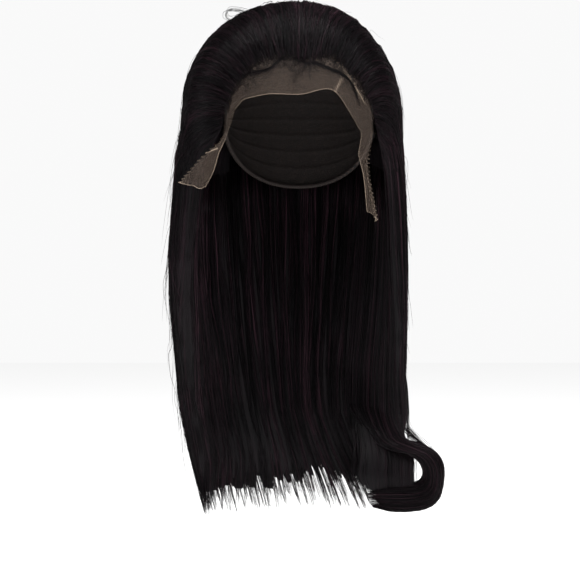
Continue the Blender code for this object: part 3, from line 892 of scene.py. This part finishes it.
def fill_points(across, inward, at):
    """Points down the filling locks: from the falling hair, then between a left and a right bound, by
    cubic curves through the rows."""
    share = SPLIT + 0.05 + 0.30 * across
    inside = 0.5 + (inward - 0.5) * 0.4
    top = -HEAD_RISE - curl_start(1.0) - LOCK_GAP - CURL_NECK
    start = curl_start(share)
    keys = [fall_point(share, start - back, inside, 0 * share) for back in (0.09, 0.045, 0.0)]
    for row in FILL:
        x = CURL_LEFT + CURL_WIDTH * (row.left + (row.right - row.left) * across)
        y = CURL_DEPTH + CURL_WALL / 2 * row.wall * (1 - 2 * inward)
        down = row.down - 0.30 * row.down**4 * (1 - np.clip(across, 0, 1)) ** 2
        keys.append(np.stack([x, y, top - CURL_HEIGHT * down], -1))
    return through(np.stack(keys, 1), at * (len(keys) - 1))


across = np.linspace(0.02, 0.98, 21)
at = np.linspace(0.2, 0.97, 24)[None] + 0 * across[:, None]
fill_faces = [fill_points(across, side + 0 * across, at).swapaxes(0, 1) for side in (0.15, 0.85)]
share, row = mass_grid(SPLIT, SPLIT + 0.3, 24, 21)
add_mass("curl_filling_mass", *fill_faces, share, row * 0.2 + 0.5, [])
rng = np.random.default_rng(22)
in_eye = rng.uniform(0, 1, FILL_COUNT) < 0.1
across = rng.normal(1.24, 0.07, FILL_COUNT)
across = np.where(in_eye, across, rng.uniform(-0.1, 1.03, FILL_COUNT))
at = np.linspace(0.0, 1.0, FILL_STEPS)[None] * rng.uniform(0.85, 1.0, (FILL_COUNT, 1))
paths = fill_points(across, rng.uniform(0.0, 1.0, FILL_COUNT), at)
tone = tones(rng, 0.3, 0.2, FILL_COUNT)
add_strands("curl_filling_strands", paths, strand_radii(FILL_COUNT, FILL_STEPS, rng), tone)

# Flyaways
# Single hairs that stand off the crown and the sides, and a thin lock that hangs clear on the right.
FLY_STEPS = 16
FLY_RADIUS = 0.00014
CROSSING_RADIUS = 0.00019
LOOP_STEPS = 20
LOOP_RADIUS = 0.00017


def hair_at(share, reach, inward, lift):
    """Points along strands by their length from the hairline, over the crown and then in the fall."""
    run = crown_run(share)
    crown = crown_point(share, np.minimum(reach / run, 1.0), inward + 0 * share, lift)
    fall = fall_point(share, fall_top(share) + np.maximum(reach - run, 0.0), inward + 0 * share, lift)
    return np.where((reach < run)[..., None], crown, fall)


rng = np.random.default_rng(23)
for name, count, low, high, start, end, length, stand, size, colour in (
    ("crossing_strands", 230, -0.90, 0.90, 0.0, 0.09, (0.07, 0.16), 0.0022, CROSSING_RADIUS, 0.90),
    ("crown_flyaways", 170, -0.75, 0.75, 0.03, 0.20, (0.03, 0.09), 0.0085, FLY_RADIUS, 0.55),
    ("left_flyaways", 190, -1.0, -0.55, 0.02, 0.34, (0.04, 0.13), 0.0110, FLY_RADIUS, 0.55),
    ("right_flyaways", 120, 0.6, 1.0, 0.05, 0.30, (0.04, 0.10), 0.0080, FLY_RADIUS, 0.55),
):
    t = np.linspace(0, 1, FLY_STEPS)[None]
    share = rng.uniform(low, high, (count, 1)) + rng.normal(0, 0.05, (count, 1)) * t
    share = np.clip(share + 0.012 * wander(rng, count, FLY_STEPS, 1.0), -1.0, 1.0)
    reach = rng.uniform(start, end, (count, 1)) + rng.uniform(*length, (count, 1)) * t
    reach = np.minimum(reach, crown_run(share) + furrow_bottom() - fall_top(share))
    away = stand * rng.uniform(0.15, 1.0, (count, 1)) ** 1.5 * t ** rng.uniform(0.8, 2.2, (count, 1))
    back = rng.uniform(0.0, 1.0, (count, 1)) > 0.6
    away = np.where(back, away * (1 - t) * 2.4, away)
    share = fanned(share, np.clip(reach / crown_run(share), 0.0, 1.0))
    paths = hair_at(share, reach, 0.0, away)
    tone = tones(rng, colour, 0.2, count)
    add_strands(name, paths, strand_radii(count, FLY_STEPS, rng, size=size), tone)

# Middle lines of loose hair, in metres across, back and up
CROWN_LOOP = (
    (-0.036, -0.022, -0.004), (-0.048, -0.014, 0.0035), (-0.060, -0.006, 0.0085),
    (-0.0700, 0.000, 0.0085), (-0.0712, 0.004, 0.0030), (-0.064, 0.008, 0.0005),
    (-0.054, 0.012, 0.0020),
)
CLEAR_LOCK = (
    (0.0965, 0.055, -0.300), (0.1030, 0.055, -0.330), (0.1090, 0.056, -0.358),
    (0.1104, 0.056, -0.382), (0.1108, 0.056, -0.400), (0.1112, 0.056, -0.4130),
    (0.1132, 0.056, -0.4250), (0.1180, 0.056, -0.4360),
)
for name, line, count, spread, tip in (
    ("crown_loop_strands", CROWN_LOOP, 9, 0.0010, 0.95),
    ("clear_lock_strands", CLEAR_LOCK, 24, 0.0006, 1.0),
):
    keys = np.array(line)[None] + spread * rng.normal(0, 1, (count, 1, 3))
    keys = keys + spread * 0.5 * rng.normal(0, 1, (count, len(line), 3))
    at = (len(line) - 1) * rng.uniform(0.85, tip, (count, 1)) * np.linspace(0, 1, LOOP_STEPS)[None]
    radii = strand_radii(count, LOOP_STEPS, rng, size=LOOP_RADIUS)
    add_strands(name, through(keys, at), radii, rng.uniform(0.1, 0.5, count))

# Lace front
# Fine hand-tied net that starts at the seam, carries the front hair on single knots and ends bare at
# a cut front edge. On both sides it is left untrimmed and hangs before the hair as a tab.
LACE_WALL = 0.001
LACE_COLUMNS = 28
LACE_FINE = 6
LACE_ROWS = 64
TAB_ROWS = 170
TAB_LEFT_LENGTH = 0.062
TAB_RIGHT_LENGTH = 0.084
TAB_LEFT_COLUMNS = (2, 5)
TAB_RIGHT_COLUMNS = (22, 25)
TAB_CLEARANCE = 0.002
TAB_TURN = 0.35
PINK_PITCH = 0.0040
PINK_DEPTH = 0.0042
EDGE_WIDTH = 0.0007
NET_SCALE = 1700.0
KNOT_SCALE = 620.0
CLUSTER_SCALE = 260.0
# Pale colour of the net's cut edge, and of the painted highlight along its folds
LACE_PALE_EDGE_AND_HIGHLIGHT = (0.20, 0.155, 0.115, 1)
LACE_TAN = (0.105, 0.077, 0.060, 1)
KNOT_DARK = (0.010, 0.006, 0.006, 1)

LACE_EDGE = rows_of(
    "across up",
    (-74.0, -42.0),
    (-62.0, -22.0),
    (-52.0, -4.0),
    (-40.0, 7.0),
    (-26.0, 9.0),
    (0.0, 8.0),
    (24.0, 9.0),
    (32.0, -1.0),
    (40.0, -14.0),
    (56.0, -20.0),
    (74.0, -42.0),
)

# Shares of the form's half width outward and of its front depth forward, inner side then hair side
TAB_LEFT = rows_of(
    "drop face_out hair_out face_front hair_front",
    (0.30, 0.935, 1.02, 0.600, 0.520),
    (0.50, 1.010, 1.20, 0.590, 0.560),
    (0.75, 1.070, 1.38, 0.580, 0.570),
    (1.00, 1.170, 1.53, 0.570, 0.570),
)
TAB_RIGHT = rows_of(
    "drop face_out hair_out face_front hair_front",
    (0.25, 0.730, 0.890, 0.640, 0.520),
    (0.50, 0.800, 0.900, 0.600, 0.540),
    (0.75, 0.830, 0.950, 0.580, 0.550),
    (1.00, 0.850, 1.000, 0.570, 0.550),
)

# Fold lines of the net as it was packed, in metres across and up, along which a painted highlight is
# laid
HIGHLIGHTED_FOLDS = (
    ((0.0300, -0.0480), (0.0430, -0.0620), (0.0520, -0.0740), (0.0615, -0.0900)),
    ((0.0413, -0.0652), (0.0337, -0.0801), (0.0271, -0.0935)),
    ((-0.0985, -0.1385), (-0.0775, -0.1315)),
)


def hair_front(drop):
    """Depth of the foremost hair at drops below the widest level: its front ends, left or right."""
    turn = np.radians(read(FALL, "turn", drop / FALL_LENGTH))
    foremost = 0.0 * drop
    for side in (-1, 1):
        outer, wall, middle = fall_walls(turn * side, drop)
        foremost = np.minimum(foremost, middle + np.cos(turn) * outer)
    return foremost


def tab_points(edge, table, length, side):
    """A hanging tab: the lace's edge lowered row by row, eased into its table's depths and widths, with
    a zigzag of even pitch along the side towards the hair."""
    width = np.linspace(0.0, 1.0, len(edge))[None]
    toward_hair = width if side > 0 else 1 - width
    drop = np.linspace(0.0, 1.0, TAB_ROWS)[1:, None]
    face_out = read(table, "face_out", drop) * HEAD_HALF_WIDTH
    hair_out = read(table, "hair_out", drop) * HEAD_HALF_WIDTH
    face_front = read(table, "face_front", drop) * HEAD_FRONT
    hair_side_front = read(table, "hair_front", drop) * HEAD_FRONT
    level = edge[:, 2].mean() - length * drop
    clear = hair_front(np.maximum(0.0, -level - HEAD_RISE)) - TAB_CLEARANCE - LACE_WALL
    depth = np.minimum(-(face_front + (hair_side_front - face_front) * toward_hair), clear)
    tooth = 2 * np.abs((length * drop / PINK_PITCH) % 1.0 - 0.5)
    outward = face_out + (hair_out - face_out) * toward_hair - PINK_DEPTH * tooth * toward_hair**6
    sag = 0.0022 * np.sin(np.pi * width) * drop * (1 - 0.6 * drop) + 0.0012 * drop**3 * np.sin(9 * width)
    scoop = np.sin(np.pi * np.clip(toward_hair / 0.45, 0, 1))
    left_dip = 0.0006 + 0.0036 * toward_hair**3 - 0.0026 * scoop
    dip = left_dip if side < 0 else 0.0075 - 0.0090 * toward_hair**2
    hung = np.stack([side * outward, depth - sag, level + dip * drop**4], -1)
    lowered = edge[None] - length * drop[..., None] * np.array([0.0, 0.0, 1.0])
    return lowered + (hung - lowered) * ease(drop / TAB_TURN)[..., None]


def near(points, line):
    """Distance from points, seen from the front, to the nearest stretch of a line."""
    closest = np.full(points.shape[:-1], 9.0)
    for start, end in zip(np.array(line), np.array(line)[1:]):
        way = end - start
        along = np.clip(((points[..., ::2] - start) @ way) / (way @ way), 0, 1)
        gap = points[..., ::2] - start - along[..., None] * way
        closest = np.minimum(closest, np.linalg.norm(gap, axis=-1))
    return closest


across = np.linspace(-EAR_ANGLE, EAR_ANGLE, LACE_COLUMNS * LACE_FINE + 1)[None]
edge = read(LACE_EDGE, "up", across)
rows = np.linspace(0.0, 1.0, LACE_ROWS)[:, None]
up = SEAM_ANGLE + (edge - SEAM_ANGLE) * rows
ripple = 0.0004 * np.sin(across * 0.35 + 1) * ease((rows - 0.6) / 0.4)
main = on_head(across + 0 * rows, up, LACE_WALL / 2 + ripple)
grids = [main]
in_tab = np.zeros(across.shape[1], bool)
net_at = [np.stack([np.radians(across) * HEAD_HALF_WIDTH + 0 * rows, np.radians(up) * HEAD_FRONT], -1)]
rim = [(1 - rows) * np.radians(SEAM_ANGLE - edge) * HEAD_FRONT]
for (first, last), table, length, side in (
    (TAB_LEFT_COLUMNS, TAB_LEFT, TAB_LEFT_LENGTH, -1),
    (TAB_RIGHT_COLUMNS, TAB_RIGHT, TAB_RIGHT_LENGTH, 1),
):
    held = slice(first * LACE_FINE, last * LACE_FINE + 1)
    in_tab[held] = True
    hung = np.concatenate([main[-1:, held], tab_points(main[-1, held], table, length, side)])
    rows = np.linspace(0.0, 1.0, TAB_ROWS)[:, None]
    wide = np.linalg.norm(hung[:, -1] - hung[:, 0], axis=-1)[:, None]
    width = np.linspace(0.0, 1.0, hung.shape[1])[None]
    grids.append(hung)
    net_at.append(net_at[0][-1:, held] - np.stack([0 * rows, rows * length], -1))
    rim.append(np.minimum(np.minimum(width, 1 - width) * wide, (1 - rows) * length))
rim[0] = np.where(in_tab[None], 9.0, rim[0])
turns, shares = [row.around for row in HAIRLINE], [row.share for row in HAIRLINE]
hairline_up = read(HAIRLINE, "up", np.interp(np.abs(across), turns, shares))
before_hair = [np.radians(hairline_up - up) * HEAD_FRONT]
before_hair += [1.0 + 0 * grid[..., 0] for grid in grids[1:]]
rim = [np.broadcast_to(part, grid.shape[:2]) for part, grid in zip(rim, grids)]
counts = np.cumsum([0] + [grid.shape[0] * grid.shape[1] for grid in grids])
faces = [grid_faces(*grid.shape[:2]) + start for grid, start in zip(grids, counts)]
points = np.concatenate([grid.reshape(-1, 3) for grid in grids])
net_at = np.concatenate([part.reshape(-1, 2) for part in net_at])
# Painted highlight along each fold line: strongest on it and gone within about a millimetre
crease = sum(np.exp(-((near(points, line) / 0.0007) ** 2)) for line in HIGHLIGHTED_FOLDS)

lace_net, lace_shader, begin = finish("lace_net", Specular_IOR_Level=0.2)
on_net = begin.node("ShaderNodeUVMap", {"uv_map": "net"})
rim_line = begin.attribute("rim")
fold_highlight_mask = begin.attribute("crease")
hairward = begin.attribute("before_hair")
cell = begin.node(
    "ShaderNodeTexVoronoi",
    {"feature": "DISTANCE_TO_EDGE", "voronoi_dimensions": "2D"},
    {"Vector": on_net, "Scale": NET_SCALE, "Randomness": 0.35},
)
thread = 1 - cell.clip(0.05, 0.15)
spot = begin.node(
    "ShaderNodeTexVoronoi", {"voronoi_dimensions": "2D"}, {"Vector": on_net, "Scale": KNOT_SCALE}
)
cluster = on_net.noise(CLUSTER_SCALE, 2.0)
bare = hairward.clip(0.0, 0.0095) + cluster * 0.6 - 0.3
knot = (1 - spot.clip(0.22, 0.34)) * (1 - bare.clip(0.2, 0.85))
# Pale cut edge of the net, plus the painted highlight along its folds, which also makes them more opaque
pale = (1 - rim_line.clip(EDGE_WIDTH * 0.6, EDGE_WIDTH)) * 0.85 + fold_highlight_mask
lace_colour = pale.clip(0.0, 1.0).blend(LACE_TAN, LACE_PALE_EDGE_AND_HIGHLIGHT)
feed(
    lace_shader,
    Base_Color=knot.clip(0.0, 1.0).blend(lace_colour, KNOT_DARK),
    Roughness=thread * 0.2 + 0.6,
    Alpha=(thread * 0.24 + 0.13 + pale * 0.6 + knot * 0.9).clip(0.0, 1.0),
)
lace = add_piece(
    "lace_net",
    points,
    faces,
    lace_net,
    net_at[np.concatenate([part.ravel() for part in faces])],
    "net",
    rim=np.concatenate([part.ravel() for part in rim]),
    crease=crease,
    before_hair=np.concatenate([part.ravel() for part in before_hair]),
)
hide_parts("lace_front")

# Baby hairs
# Short fine hairs before the hairline. Most stand loose; some are laid over the net in two swoops, and
# a few long ones lie loose across it.
BABY_COUNT = 270
BABY_STEPS = 14
BABY_RADIUS = 0.00015
LAID_STEPS = 20
BABY_LIFT = 0.0010

# Middle lines of the laid hairs, in metres across and up, from their roots
LEFT_SWOOP = (
    (-0.0120, -0.0475), (-0.0190, -0.0530), (-0.0290, -0.0605),
    (-0.0423, -0.0628), (-0.0545, -0.0645), (-0.0640, -0.0740),
)
RIGHT_SWOOP = (
    (-0.0088, -0.0490), (0.0023, -0.0545), (0.0152, -0.0555), (0.0282, -0.0600),
    (0.0420, -0.0660), (0.0490, -0.0735), (0.0528, -0.0830), (0.0560, -0.0930),
)
MIDDLE_STRAY = (
    (-0.0020, -0.0480), (0.0050, -0.0560), (0.0010, -0.0640), (-0.0046, -0.0695),
    (-0.0036, -0.0765), (0.0055, -0.0805), (0.0080, -0.0860),
)
LEFT_STRAY = ((-0.0455, -0.0600), (-0.0440, -0.0680), (-0.0412, -0.0757), (-0.0337, -0.0835))


def on_front(across_up, lift):
    """Points on the net at places seen from the front: minus the front depth times
    (1 - |x / half width|^p - |z / rise|^p)^(1/p), and a lift forward."""
    x = across_up[..., 0]
    z = across_up[..., 1] + HEAD_RISE
    height = np.where(z > 0, HEAD_RISE, HEAD_FALL)
    left = 1 - np.abs(x / HEAD_HALF_WIDTH) ** HEAD_ROUND - np.abs(z / height) ** HEAD_ROUND
    y = -HEAD_FRONT * np.clip(left, 0.02, 1.0) ** (1 / HEAD_ROUND) - LACE_WALL - lift
    return np.stack([x, y, z - HEAD_RISE], -1)


rng = np.random.default_rng(24)
for name, line, count, spread, first, size in (
    ("laid_hairs_left", LEFT_SWOOP, 24, 0.0008, (0.0, 0.35), 0.00012),
    ("laid_hairs_right", RIGHT_SWOOP, 30, 0.0008, (0.0, 0.40), 0.00012),
    ("stray_hairs_middle", MIDDLE_STRAY, 4, 0.0010, (0.0, 0.05), 0.00016),
    ("stray_hairs_left", LEFT_STRAY, 3, 0.0008, (0.0, 0.05), 0.00016),
):
    keys = np.array(line)[None] + spread * rng.normal(0, 1, (count, len(line), 2))
    begin_at = rng.uniform(*first, (count, 1))
    end_at = np.clip(begin_at + rng.uniform(0.5, 1.0, (count, 1)), 0.0, 1.0)
    at = (begin_at + (end_at - begin_at) * np.linspace(0, 1, LAID_STEPS)[None]) * (len(line) - 1)
    lift = BABY_LIFT * rng.uniform(0.1, 1.0, (count, 1)) + 0 * at
    paths = on_front(through(keys, at), lift)
    tone = tones(rng, 0.12, 0.1, count)
    add_strands(name, paths, strand_radii(count, LAID_STEPS, rng, size=size), tone)

share = rng.uniform(-0.62, 0.62, (BABY_COUNT, 1))
share = np.sign(share) * np.abs(share) ** 1.4
root = crown_point(share, 0 * share, 1.0 + 0 * share, 0 * share)[:, 0, ::2]
heading = np.radians(-90 + rng.normal(0, 42, (BABY_COUNT, 1)))
t = np.linspace(0, 1, BABY_STEPS)[None]
heading = heading + rng.normal(0, 2.0, (BABY_COUNT, 1)) * t
heading = heading + rng.normal(0, 0.6, (BABY_COUNT, 1)) * np.sin(6 * t)
stretch = rng.uniform(0.008, 0.032, (BABY_COUNT, 1)) / (BABY_STEPS - 1)
walk = np.stack([np.cos(heading), np.sin(heading)], -1).cumsum(1) * stretch[..., None]
lift = BABY_LIFT * (0.2 + rng.uniform(0.2, 2.0, (BABY_COUNT, 1)) * t)
tone = tones(rng, 0.3, 0.2, BABY_COUNT)
paths = on_front(root[:, None] + walk, lift)
add_strands("baby_hairs", paths, strand_radii(BABY_COUNT, BABY_STEPS, rng, size=BABY_RADIUS), tone)

# Floor, light and camera
# A plain pale floor, broad soft lights and the camera at the front, level with the hair's middle.
# The room lights everything evenly, but what is glossy reflects little of it, as among black screens.
ROOM_LIGHT = 0.95
ROOM_REFLECTED = 0.12
FLOOR_COLOUR = (0.93, 0.93, 0.93, 1)
floor_finish = finish("pale_floor", Roughness=1.0, Specular_IOR_Level=0.0, Base_Color=FLOOR_COLOUR)[0]
corners = np.array([[-4, -4, -0.62], [4, -4, -0.62], [4, 6, -0.62], [-4, 6, -0.62]], float)
floor = bpy.data.objects.new("floor", bpy.data.meshes.new("floor"))
floor.data.from_pydata(corners.tolist(), [], [(0, 1, 2, 3)])
floor.data.materials.append(floor_finish)
bpy.context.scene.collection.objects.link(floor)

world = bpy.data.worlds.new("soft_studio")
world.use_nodes = True
room = world.node_tree.nodes["Background"]
room.inputs["Color"].default_value = (1, 1, 1, 1)
reflected = Socket(world.node_tree, None).node("ShaderNodeLightPath", output="Is Glossy Ray")
feed(room, Strength=ROOM_LIGHT * (1 - (1 - ROOM_REFLECTED) * reflected))
bpy.context.scene.world = world


def soft_light(name, place, target, size, power):
    """A square area light at a place, turned to a target."""
    lamp = bpy.data.lights.new(name, "AREA")
    lamp.size = size
    lamp.energy = power
    made = bpy.data.objects.new(name, lamp)
    made.location = place
    made.rotation_euler = (Vector(target) - Vector(place)).to_track_quat("-Z", "Y").to_euler()
    bpy.context.scene.collection.objects.link(made)


soft_light("front_left", (-1.2, -1.3, 1.5), (0, 0, -0.1), 0.8, 44)
soft_light("front_right", (1.4, -1.3, 1.1), (0, 0, -0.15), 0.8, 46)
soft_light("above", (0.1, -0.2, 1.4), (0, 0, -0.1), 0.8, 20)

camera_data = bpy.data.cameras.new("front_camera")
camera_data.lens = 95.3
camera_data.sensor_width = 36.0
camera = bpy.data.objects.new("front_camera", camera_data)
camera.location = (-0.0088, -1.5, -0.2648)
camera.rotation_euler = (np.pi / 2, 0, 0)
bpy.context.scene.collection.objects.link(camera)
bpy.context.scene.camera = camera
bpy.context.scene.view_settings.view_transform = "Standard"
